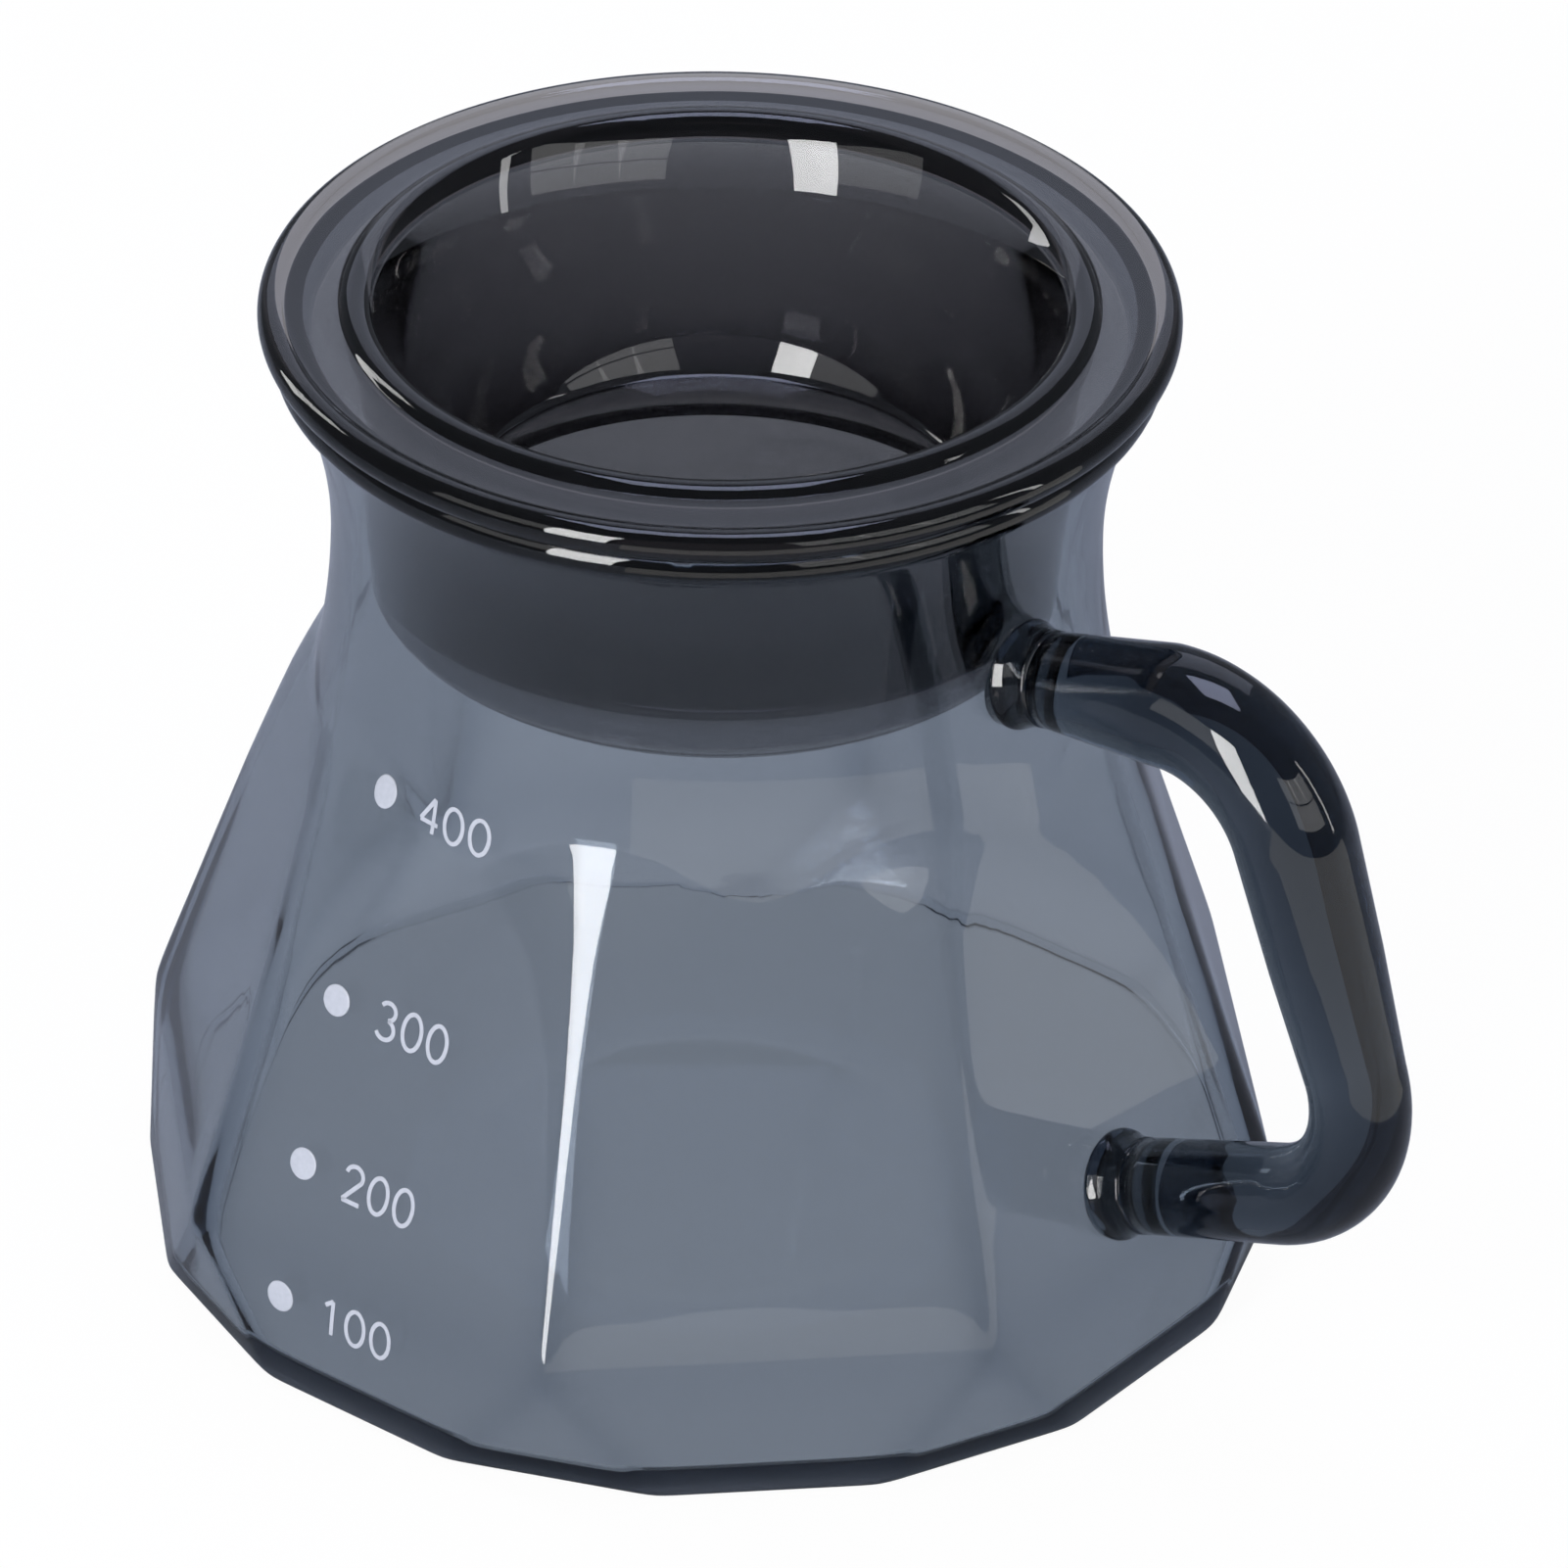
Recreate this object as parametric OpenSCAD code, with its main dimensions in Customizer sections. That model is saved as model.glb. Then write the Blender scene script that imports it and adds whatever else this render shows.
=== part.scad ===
// Blown glass coffee server with eight flat facets, a drawn rod handle and a loose glass lid.
// Z is up, the base rests on Z = 0 at the origin, the handle points along +X
// and the volume marks are on the facet that faces -Y.

/* [Vessel] */
// Distance from the axis to the eight widest corners
corner_radius = 59.6; // [56:0.1:64]
// Height of the widest corners above the base
corner_height = 13.9; // [9:0.1:18]
// How far the tips of the widest corners are softened off
corner_nip = 0.15; // [0.1:0.05:0.5]
// How far the sixteen corners of the base draw in from the widest corners
foot_inset = 1.9; // [1:0.1:5]
// Rounding of the base edge
base_edge = 2.4; // [0.6:0.1:4]
// Distance from the axis to the outside of the neck at its narrowest
neck_radius = 38.6; // [36.5:0.1:42]
// Height of the narrowest part of the neck
neck_height = 79.2; // [75:0.1:85]
// How far below that the flat facets, if they ran on, would meet the line of the neck
neck_sweep = 11.9; // [8:0.1:16]
// How far the hollow curve of the neck cuts in past the facets where it is nearest to them
neck_blend = 0.25; // [0.1:0.05:0.5]
// How far below the narrowest part of the neck the ridges start to fade out
ridge_fade = 19; // [14:0.5:26]
// How much more the fading ends of the ridges lean than the ridges, in degrees
ridge_fade_turn = 13; // [8:1:25]
// Thickness of the blown wall
wall = 2.2; // [1.6:0.1:3]
// Thickness of the floor
floor_thick = 2; // [1.6:0.1:4]
// Rounding of the inside where the walls meet the floor
inner_edge = 2.5; // [1.2:0.1:6]
// Radius of the shallow hollow under the base
punt_radius = 24; // [16:0.5:32]
// Depth of the hollow under the base
punt_depth = 1.4; // [0.6:0.1:2]

/* [Lip] */
// Height of the ground top of the lip above the narrowest part of the neck
lip_rise = 22.8; // [18:0.1:28]
// How far the middle of the fire-polished lip bead stands out past the neck at its narrowest
lip_flare = 3.9; // [2:0.1:6]
// Radius of the lip bead
lip_bead = 2; // [1.4:0.1:2.6]
// Depth ground off the top of the lip bead so the lid sits flat
lip_grind = 0.25; // [0.1:0.05:0.5]

/* [Lid] */
// How far the flange reaches past the lip all round
flange_overhang = 1.4; // [0.5:0.1:3]
// Thickness of the flange between its two beads
flange_thick = 3; // [2.2:0.1:4]
// Radius of the bead round the outer edge of the flange
rim_bead = 1.7; // [1.3:0.1:2.2]
// Radius of the bead round the mouth of the cup
mouth_bead = 2; // [1.6:0.1:2.6]
// Gap all round between the cup and the narrowest part of the neck
plug_clearance = 2; // [0.8:0.1:3]
// Draft of the outside of the cup, in degrees
plug_draft = 6.7; // [3:0.1:9]
// How far the cup reaches below the narrowest part of the neck
plug_reach = 7.5; // [3:0.1:12]
// Rounding of the outer foot of the cup
plug_edge = 4; // [2:0.1:6]
// Thickness of the wall of the cup at its mouth
cup_wall = 2.9; // [2:0.1:4]
// Lean of the inside of the cup, half way down, in degrees
cup_draft = 10.5; // [8:0.5:14]
// Radius of the slow curve in which the inside of the cup comes off the mouth
mouth_sweep = 18; // [12:0.5:20]
// How much more the inside of the cup leans at the mouth than half way down, in degrees
mouth_sweep_turn = 28; // [20:1:32]
// Radius of the slow curve in which the inside of the cup sweeps in to its floor
foot_sweep = 20; // [16:0.5:28]
// How much more the inside of the cup leans at the end of that sweep than half way down, in degrees
foot_sweep_turn = 24; // [14:1:26]
// Depth from the floor of the cup to the rim it would stand on
cup_floor = 9; // [8:0.1:10]
// Depth of the round hollow pressed up under the cup
foot_hollow = 5.8; // [3:0.1:6.4]
// Width of the rim left round that hollow
foot_ring = 3.4; // [3:0.1:5]
// Rounding inside the cup where its wall meets its floor
cup_edge = 1.5; // [1:0.1:4]

/* [Handle] */
// Radius of the glass rod where it leaves its two roots
arm_radius = 4.9; // [4.4:0.1:5.2]
// Radius of the glass rod in its upper bend
upper_rod_radius = 6.2; // [5.2:0.1:7]
// Radius of the glass rod in its lower bend, where it was drawn out thinner
lower_rod_radius = 5.1; // [4.8:0.1:6]
// Radius of the glass rod in the middle of the grip
grip_radius = 5.8; // [5.2:0.1:6.6]
// How far the upper corner of the rod's centre line stands out from the neck
upper_reach = 30.2; // [26:0.1:36]
// How far the upper corner lies above the narrowest part of the neck
upper_rise = 3.7; // [0:0.1:8]
// How far the lower corner of the rod's centre line stands out past the widest corners
lower_reach = 26; // [21:0.1:32]
// Height of the lower corner of the rod's centre line above the base
lower_corner_height = 34.5; // [31:0.1:39]
// Rise of the upper arm away from the neck, in degrees
upper_arm_rise = 11; // [0:0.5:16]
// Rise of the lower arm away from the facet, in degrees
lower_arm_rise = 20.5; // [14:0.5:26]
// Bend radius of the rod's centre line at the upper corner
upper_bend = 14.5; // [11:0.5:17]
// Bend radius of the rod's centre line at the lower corner
lower_bend = 14; // [10:0.5:16]
// How much thinner the straight runs are than the bends where they run into them
rod_step = 0.05; // [0.02:0.01:0.1]
// Distance that each fused root stands off the glass
root_stand = 4.4; // [3:0.1:6]
// Radius of the bead round each fused root
root_bead = 0.9; // [0.7:0.1:1.6]
// How far the middle of that bead stands off the glass
root_bead_rise = 0.5; // [0.3:0.1:1]

/* [Volume marks] */
// Radius of each printed dot
dot_radius = 1.65; // [1:0.05:2.5]
// Thickness of the fired enamel
enamel = 0.15; // [0.1:0.01:0.3]
// Distance of the dots to the left of the middle of their facet
dot_offset = 10.5; // [6:0.1:11]
// Height of the 100 dot, as a share of the height of the facets
dot_100_share = 0.151; // [0.13:0.001:0.17]
// Height of the 200 dot, as a share of the height of the facets
dot_200_share = 0.361; // [0.3:0.001:0.4]
// Height of the 300 dot, as a share of the height of the facets
dot_300_share = 0.612; // [0.55:0.001:0.66]
// Height of the 400 dot, as a share of the height of the facets
dot_400_share = 0.927; // [0.85:0.001:0.95]

/* [Hidden] */
$fn = 96;

facet_count = 8;
facet_turn = 360 / facet_count;
half_turn = facet_turn / 2;
// Number of flats round the bead of each handle root
bead_flats = 12;
// Number of flats that make up the rounding of the base edge
edge_flats = 6;
// One length runs past every face that a cut goes through
overrun = lip_bead;
slab_half = corner_radius + overrun;
right_angle = 90;

lip_height = neck_height + lip_rise;
lip_radius = neck_radius + lip_flare;
top_z = lip_height + overrun;
bead_z = lip_height + lip_grind - lip_bead;

// Each flat facet leans in from its corners towards the neck. A hollow curve that stands upright
// at the narrowest part of the neck takes over from it, and cuts in past it by the blend
corner_apothem = corner_radius * cos(half_turn);
facet_height = neck_height - neck_sweep;
facet_slope = (corner_apothem - neck_radius) / (facet_height - corner_height);
facet_lean = atan(facet_slope);
neck_curve = neck_sweep / tan(facet_lean / 2) + neck_blend / (1 - cos(facet_lean));
neck_hollow = [neck_radius + neck_curve, neck_height];
neck_foot = facet_height - neck_sweep * cos(facet_lean);

// The flare leaves the neck upright and ends over the middle of the lip bead
flare_run = lip_radius + wall / 2 - neck_radius;
flare_rise = bead_z - neck_height;
flare_curve = (flare_run * flare_run + flare_rise * flare_rise) / (2 * flare_run);
flare_hollow = [neck_radius + flare_curve, neck_height];

// Below the widest corners a low band of each facet and a triangle under each corner lead to a
// base of sixteen even sides
foot_apothem = (corner_radius - foot_inset) * cos(half_turn / 2);
band_slope = (foot_apothem - corner_apothem) / corner_height;
toe_slope = (corner_radius - corner_nip - foot_apothem) / corner_height;

function facet_apothem(z) = corner_apothem - facet_slope * (z - corner_height);
function band_apothem(z) = foot_apothem - band_slope * z;

// Points of a half outline followed by their mirror images
function both_sides(p) = concat(p, [for (i = [len(p) - 1:-1:0]) [-p[i].x, p[i].y]]);

// Distance from a rounded corner's foot back to its circle's centre, for a side that leans out
function round_back(r, lean) = r * (1 - sin(lean)) / cos(lean);

// Half outline of a corner at the height low between the floor and a side that starts foot from
// the axis and leans outwards, rounded by r in short flats
function rounded_foot(foot, low, lean, r) =
    let (centre = [foot - round_back(r, lean), low + r])
    [for (i = [0:edge_flats])
        let (t = (right_angle - lean) * i / edge_flats - right_angle)
        centre + r * [cos(t), sin(t)]];

// Section across two opposite facets, inset by the wall for the hollow, with its floor at low
module facet_section(inset, low, r) {
    band_lean = atan(-band_slope);
    foot = band_apothem(low) - inset / cos(band_lean);
    // The inset band and facet still meet in one level line
    meet = [corner_apothem, corner_height]
        - inset * [cos(facet_lean / 2 - band_lean / 2), sin(facet_lean / 2 - band_lean / 2)]
        / cos(facet_lean / 2 + band_lean / 2);
    top = [meet.x - facet_slope * (neck_height - meet.y), neck_height];
    polygon(both_sides(concat(rounded_foot(foot, low, band_lean, r), [meet, top])));
}

// Section across two opposite triangles under the corners, which lean out as they rise
module toe_section(inset, low, r) {
    lean = atan(toe_slope);
    foot = foot_apothem + toe_slope * low - inset / cos(lean);
    top = [foot + toe_slope * (neck_height - low), neck_height];
    polygon(both_sides(concat(rounded_foot(foot, low, lean, r), [top])));
}

module slab(turn) {
    rotate([0, 0, turn]) rotate([90, 0, 0])
        linear_extrude(2 * slab_half, center = true) children();
}

// Cone that takes the ridges off a little below the neck
module ridge_cone(inset) {
    lean = atan(facet_slope / cos(half_turn)) + ridge_fade_turn;
    fade_height = neck_height - ridge_fade;
    at_fade = facet_apothem(fade_height) / cos(half_turn) - inset / cos(lean);
    cylinder(h = neck_height, r1 = at_fade + tan(lean) * fade_height,
        r2 = at_fade - tan(lean) * ridge_fade);
}

// Round neck: a hollow curve up from the facets, then a flare out to the lip
module neck_section(inset) {
    mouth = flare_hollow.x - sqrt(pow(flare_curve + inset, 2) - flare_rise * flare_rise);
    difference() {
        polygon([[0, neck_foot], [neck_hollow.x, neck_foot], neck_hollow, [0, neck_height]]);
        translate(neck_hollow) circle(neck_curve + inset);
    }
    difference() {
        polygon([[0, neck_height], flare_hollow, [mouth, bead_z], [0, bead_z]]);
        translate(flare_hollow) circle(flare_curve + inset);
    }
    if (inset > 0) translate([0, bead_z]) square([mouth, top_z - bead_z]);
}

// The form of the blown vessel, or of its hollow when inset is the wall
module blown_form(inset, low, r) {
    intersection() {
        slab(0) facet_section(inset, low, r);
        slab(facet_turn) facet_section(inset, low, r);
        slab(2 * facet_turn) facet_section(inset, low, r);
        slab(3 * facet_turn) facet_section(inset, low, r);
        slab(half_turn) toe_section(inset, low, r);
        slab(half_turn + facet_turn) toe_section(inset, low, r);
        slab(half_turn + 2 * facet_turn) toe_section(inset, low, r);
        slab(half_turn + 3 * facet_turn) toe_section(inset, low, r);
        ridge_cone(inset);
    }
    rotate_extrude() neck_section(inset);
}

module vessel_outside() {
    blown_form(0, 0, base_edge);
}

// The hollow pushed up under the base, a cap of a large ball
punt_curve = (punt_radius * punt_radius + punt_depth * punt_depth) / (2 * punt_depth);

module vessel() {
    color([0.36, 0.4, 0.44, 0.45]) difference() {
        union() {
            difference() {
                vessel_outside();
                difference() {
                    blown_form(wall, floor_thick, inner_edge);
                    translate([0, 0, punt_depth + floor_thick - punt_curve]) sphere(punt_curve);
                }
            }
            translate([0, 0, bead_z]) rotate_extrude()
                translate([lip_radius, 0]) circle(lip_bead);
        }
        translate([0, 0, lip_height]) cylinder(h = overrun, r = lip_radius + lip_bead);
        translate([0, 0, punt_depth - punt_curve]) sphere(punt_curve);
    }
}

// Rod centre line in the XZ plane: two arms, two bends and the grip between them
upper_corner = [neck_radius + upper_reach, neck_height + upper_rise];
lower_corner = [corner_radius + lower_reach, lower_corner_height];
upper_arm = [cos(upper_arm_rise), sin(upper_arm_rise)];
lower_arm = [cos(lower_arm_rise), sin(lower_arm_rise)];
grip_run = lower_corner - upper_corner;
grip_way = grip_run / norm(grip_run);
grip_angle = atan2(grip_way.y, grip_way.x);

upper_turn = upper_arm_rise - grip_angle;
lower_turn = 180 - lower_arm_rise + grip_angle;
upper_trim = upper_bend * tan(upper_turn / 2);
lower_trim = lower_bend * tan(lower_turn / 2);

// Each arm starts where its root's flat end stands off the glass
upper_root_x = neck_radius + root_stand;
upper_root = upper_corner - upper_arm * (upper_corner.x - upper_root_x) / upper_arm.x;
lower_line_z = lower_corner.y - lower_arm.y / lower_arm.x * lower_corner.x;
lower_foot_x = (corner_apothem + facet_slope * (corner_height - lower_line_z))
    / (1 + facet_slope * lower_arm.y / lower_arm.x);
lower_root_x = lower_foot_x + root_stand * lower_arm.x;
lower_root = lower_corner - lower_arm * (lower_corner.x - lower_root_x) / lower_arm.x;

// Places a child that points along +Z at a point of the XZ plane, pointing along a direction
module along(from, way) {
    translate([from.x, 0, from.y]) rotate([0, 90 - atan2(way.y, way.x), 0]) children();
}

// A bend of the rod, turning clockwise from way_in through turn, as an exact part of a ring
module rod_bend(start, way_in, turn, bend, r) {
    side = [way_in.y, -way_in.x];
    centre = start + side * bend;
    translate([centre.x, 0, centre.y]) rotate([90, 0, 0])
        rotate([0, 0, atan2(-side.y, -side.x) - turn])
        rotate_extrude(angle = turn) translate([bend, 0]) circle(r);
}

// The straight runs end a hair thinner than the bends and reach this far into them
rod_lap = bead_flats * rod_step;

// A straight arm, from its root to just inside the start of a bend whose rod has the radius r
module arm(from, to, r) {
    run = norm(to - from);
    along(from, to - from) rotate_extrude() polygon([[0, 0], [arm_radius, 0], [r - rod_step, run],
        [r - rod_step, run + rod_lap], [0, run + rod_lap]]);
}

upper_arm_end = upper_corner - upper_arm * upper_trim;
lower_arm_end = lower_corner - lower_arm * lower_trim;
grip_top = upper_corner + grip_way * upper_trim;
grip_foot = lower_corner - grip_way * lower_trim;
grip_length = norm(grip_foot - grip_top);

module grip() {
    upper_r = upper_rod_radius - rod_step;
    lower_r = lower_rod_radius - rod_step;
    along(grip_top, grip_way) rotate_extrude() polygon([[0, -rod_lap], [upper_r, -rod_lap],
        [upper_r, 0], [grip_radius, grip_length / 2], [lower_r, grip_length],
        [lower_r, grip_length + rod_lap], [0, grip_length + rod_lap]]);
}

module handle_rod() {
    color([0.1, 0.12, 0.13]) {
        arm(upper_root, upper_arm_end, upper_rod_radius);
        rod_bend(upper_arm_end, upper_arm, upper_turn, upper_bend, upper_rod_radius);
        grip();
        rod_bend(grip_foot, grip_way, lower_turn, lower_bend, lower_rod_radius);
        arm(lower_root, lower_arm_end, lower_rod_radius);
    }
}

// A fused root: a stub of the rod with a soft bead squeezed out round it against the glass
module root(at, way) {
    depth = root_stand + 2 * root_bead;
    difference() {
        along(at, -way) rotate_extrude() {
            square([arm_radius, depth]);
            translate([arm_radius, root_stand - root_bead_rise]) circle(root_bead, $fn = bead_flats);
        }
        vessel_outside();
    }
}

module upper_handle_root() {
    color([0.08, 0.09, 0.1]) root(upper_root, upper_arm);
}

module lower_handle_root() {
    color([0.08, 0.09, 0.1]) root(lower_root, lower_arm);
}

// Lid: a pressed flange with a bead at each edge, and a thick-bottomed cup that hangs in the neck
cup_base_z = neck_height - plug_reach;
cup_floor_z = cup_base_z + cup_floor;
mouth_z = lip_height + flange_thick - mouth_bead / 2;
flange_radius = lip_radius + lip_bead + flange_overhang;
plug_slope = tan(plug_draft);
plug_neck_radius = neck_radius - wall - plug_clearance;
plug_foot_radius = plug_neck_radius - plug_slope * (plug_reach - plug_edge);
mouth_radius = plug_neck_radius + plug_slope * lip_rise - cup_wall;
// Number of flats along each curve of the inside of the cup
sweep_flats = 6;
mouth_lean = cup_draft + mouth_sweep_turn;
foot_lean = cup_draft + foot_sweep_turn;
mouth_centre = [mouth_radius + mouth_bead, mouth_z];
mouth_sweep_centre = mouth_centre + (mouth_sweep - mouth_bead) * [cos(mouth_lean), -sin(mouth_lean)];
mouth_sweep_top = mouth_centre - mouth_bead * [cos(mouth_lean), -sin(mouth_lean)];
steep_top = mouth_sweep_centre - mouth_sweep * [cos(cup_draft), -sin(cup_draft)];
cup_edge_top = cup_floor_z + cup_edge * (1 - sin(foot_lean));
steep_foot_z = cup_edge_top + foot_sweep * (sin(foot_lean) - sin(cup_draft));
steep_foot = [steep_top.x - (steep_top.y - steep_foot_z) * tan(cup_draft), steep_foot_z];
foot_sweep_centre = steep_foot + foot_sweep * [-cos(cup_draft), sin(cup_draft)];
cup_edge_centre = foot_sweep_centre + (foot_sweep - cup_edge) * [cos(foot_lean), -sin(foot_lean)];

// Half section of the outside of the cup, a cone on a rounded foot
module plug_side() {
    centre = [plug_foot_radius - plug_slope * plug_edge - round_back(plug_edge, plug_draft),
        cup_base_z + plug_edge];
    touch = centre + plug_edge * [cos(plug_draft), -sin(plug_draft)];
    polygon([[0, cup_base_z], [centre.x, cup_base_z], centre, touch,
        [plug_neck_radius + plug_slope * lip_rise, lip_height], [0, lip_height]]);
    translate(centre) circle(plug_edge);
}

// Points along an arc of radius r, from one angle to another
function arc_points(centre, r, from, to) =
    [for (i = [0:sweep_flats]) let(turn = from + (to - from) * i / sweep_flats) centre + r * [cos(turn), sin(turn)]];

// Half section of the inside of the cup: off the mouth in a slow curve, steep, then in to the floor
module cup_hollow_section() {
    polygon(concat(
        [[0, cup_floor_z], [0, mouth_sweep_top.y]],
        arc_points(mouth_sweep_centre, mouth_sweep, 2 * right_angle - mouth_lean, 2 * right_angle - cup_draft),
        arc_points(foot_sweep_centre, foot_sweep, -cup_draft, -foot_lean),
        arc_points(cup_edge_centre, cup_edge, -foot_lean, -right_angle)));
}

// Half section of the round hollow under the cup, a low dome with rounded shoulders
module foot_hollow_section() {
    reach = plug_foot_radius - foot_ring;
    translate([0, cup_base_z - overrun]) square([reach, overrun + foot_hollow / 2]);
    translate([0, cup_base_z]) square([reach - foot_hollow / 2, foot_hollow]);
    translate([reach - foot_hollow / 2, cup_base_z + foot_hollow / 2]) circle(foot_hollow / 2);
}

module lid() {
    color([0.2, 0.22, 0.25, 0.6]) rotate_extrude() difference() {
        union() {
            plug_side();
            translate([0, lip_height]) square([flange_radius - rim_bead, flange_thick]);
            translate([flange_radius - rim_bead, lip_height + rim_bead]) circle(rim_bead);
            translate(mouth_centre) circle(mouth_bead);
        }
        cup_hollow_section();
        foot_hollow_section();
        difference() {
            translate([0, mouth_sweep_top.y]) square([mouth_centre.x, 2 * mouth_bead]);
            translate(mouth_centre) circle(mouth_bead);
        }
    }
}

// A dot of fired enamel lying on the facet that faces -Y, or on its low band
module dot(share) {
    height = share * facet_height;
    on_band = height < corner_height;
    apothem = on_band ? band_apothem(height) : facet_apothem(height);
    lean = on_band ? atan(band_slope) : facet_lean;
    color("white") translate([-dot_offset, -apothem, height])
        rotate([right_angle - lean, 0, 0]) cylinder(h = enamel, r = dot_radius);
}

module dot_100() {
    dot(dot_100_share);
}

module dot_200() {
    dot(dot_200_share);
}

module dot_300() {
    dot(dot_300_share);
}

module dot_400() {
    dot(dot_400_share);
}

vessel();
upper_handle_root();
lower_handle_root();
handle_rod();
lid();
dot_100();
dot_200();
dot_300();
dot_400();
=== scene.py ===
import math

import bpy
import numpy as np
from mathutils import Matrix, Vector


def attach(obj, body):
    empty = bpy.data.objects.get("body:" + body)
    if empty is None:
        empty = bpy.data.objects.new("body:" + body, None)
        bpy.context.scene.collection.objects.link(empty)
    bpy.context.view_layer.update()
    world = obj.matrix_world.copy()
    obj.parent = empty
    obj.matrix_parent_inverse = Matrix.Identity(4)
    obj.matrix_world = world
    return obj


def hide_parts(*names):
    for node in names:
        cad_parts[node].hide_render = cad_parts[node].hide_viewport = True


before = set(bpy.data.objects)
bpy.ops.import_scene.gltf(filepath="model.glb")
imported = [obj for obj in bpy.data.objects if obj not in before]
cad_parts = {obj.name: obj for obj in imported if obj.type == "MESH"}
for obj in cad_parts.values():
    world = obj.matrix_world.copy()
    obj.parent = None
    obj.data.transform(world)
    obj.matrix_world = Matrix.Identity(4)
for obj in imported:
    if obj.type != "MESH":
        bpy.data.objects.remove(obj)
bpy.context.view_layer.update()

# Camera: a long lens about 1.7 m off, looking down on the lid with the handle to the right.
# Its place is written as a turn round the server, a height angle and a distance in millimetres.
view_turn = math.radians(-51.9477)
view_height = math.radians(32.5305)
view_roll = math.radians(0.981)
aim_right_mm, aim_up_mm, distance_mm = -7.826, -40.615, 1687.07
sensor_mm, focal_share = 36, 10.4933
back = Vector((math.cos(view_turn) * math.cos(view_height),
               math.sin(view_turn) * math.cos(view_height), math.sin(view_height)))
level = Vector((-math.sin(view_turn), math.cos(view_turn), 0))
upward = back.cross(level)
right = level * math.cos(view_roll) + upward * math.sin(view_roll)
top = upward * math.cos(view_roll) - level * math.sin(view_roll)
place = (back * distance_mm - right * aim_right_mm - top * aim_up_mm) * 0.001
camera_data = bpy.data.cameras.new("camera")
camera_data.sensor_fit = "HORIZONTAL"
camera_data.sensor_width = sensor_mm
camera_data.lens = sensor_mm * focal_share
camera_data.clip_end = 50
camera = bpy.data.objects.new("camera", camera_data)
camera.matrix_world = Matrix.Translation(place) @ Matrix((right, top, back)).transposed().to_4x4()
bpy.context.scene.collection.objects.link(camera)
bpy.context.scene.camera = camera

# Vessel: smoked borosilicate blown in an eight-sided mould, so the outside has eight flat facets
# over a low band, a triangle under each wide corner, and ridges that melt away below the neck.
# The lip is fire-polished to a bead and ground flat; the base is pushed up in the middle.
corner_radius, corner_nip, corner_height = 59.6, 0.15, 13.9
foot_inset, base_edge = 1.9, 1.3
neck_radius, neck_height, neck_sweep, neck_blend, neck_tuck = 38.6, 79.2, 11.9, 0.25, 0.1
ridge_fade, ridge_fade_turn = 19.0, 8.5
wall, floor_thick, inner_edge = 2.2, 2.0, 1.3
punt_radius, punt_depth = 24.0, 1.4
lip_rise, lip_radius, lip_bead, lip_grind, lip_tuck = 22.8, 42.5, 2.0, 0.25, 1.4
bead_start, bead_end = -84, 216
# The mould's faces are blended by a power, the higher the crisper the ridge, which falls with height.
# Slack is the rounding beside a ridge in degrees. The hollow follows the mould less keenly.
ridge_heights, ridge_powers = [0, 14, 27, 43, 55, 62, 70], [220, 170, 80, 44, 22, 12, 8]
slack_heights, slack_degrees = [0, 27, 43, 55, 62], [1.2, 1.8, 3.2, 7.0, 11.0]
foot_power, hollow_power, hollow_foot_power = 240.0, 45.0, 90.0
half_turn = math.radians(22.5)
lip_height = neck_height + lip_rise
bead_z = lip_height + lip_grind - lip_bead
corner_apothem = corner_radius * math.cos(half_turn)
facet_height = neck_height - neck_sweep
facet_slope = (corner_apothem - neck_radius) / (facet_height - corner_height)
facet_lean = math.atan(facet_slope)
neck_curve = neck_sweep / math.tan(facet_lean / 2) + neck_blend / (1 - math.cos(facet_lean))
neck_foot = facet_height - neck_sweep * math.cos(facet_lean)
flare_run = lip_radius + wall / 2 - neck_radius
flare_rise = bead_z - neck_height
flare_curve = (flare_run ** 2 + flare_rise ** 2) / (2 * flare_run)
foot_apothem = (corner_radius - foot_inset) * math.cos(half_turn / 2)
band_slope = (foot_apothem - corner_apothem) / corner_height
toe_slope = (corner_radius - corner_nip - foot_apothem) / corner_height
fade_lean = math.atan(facet_slope / math.cos(half_turn)) + math.radians(ridge_fade_turn)
fade_height = neck_height - ridge_fade
fade_radius = (corner_apothem - facet_slope * (fade_height - corner_height)) / math.cos(half_turn)
punt_curve = (punt_radius ** 2 + punt_depth ** 2) / (2 * punt_depth)


def sharpness(z):
    """How crisp the ridges are at a height: keen low down, melting away towards the neck."""
    return math.exp(np.interp(z, ridge_heights, np.log(ridge_powers)))


def edge_angle(z):
    """Angle from a ridge to the edge of the triangle under it, or to the edge of its rounding."""
    slack = np.interp(z, slack_heights, slack_degrees)
    if z >= corner_height:
        return math.radians(slack)
    band = foot_apothem - band_slope * z
    toe = foot_apothem + toe_slope * z
    # The turn at which the band and the triangle's face meet at this height
    turns = np.radians(np.linspace(0, 20, 400))
    meet = turns[np.argmin(np.abs(band / np.cos(half_turn - turns) - toe / np.cos(turns)))]
    return max(meet, math.radians(slack))


def ring_angles(z):
    """Directions round one section, crowded where its edges are."""
    edge = edge_angle(z)
    inner = edge * np.array([-1, -0.93, -0.82, -0.62, -0.35, 0, 0.35, 0.62, 0.82, 0.93])
    outer = edge + (2 * half_turn - 2 * edge) * np.array(
        [0, 0.015, 0.04, 0.08, 0.14, 0.23, 0.35, 0.5, 0.65, 0.77, 0.86, 0.92, 0.96, 0.985])
    part = np.concatenate([inner, outer])
    return np.concatenate([part + half_turn + 2 * half_turn * k for k in range(8)])


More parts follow.
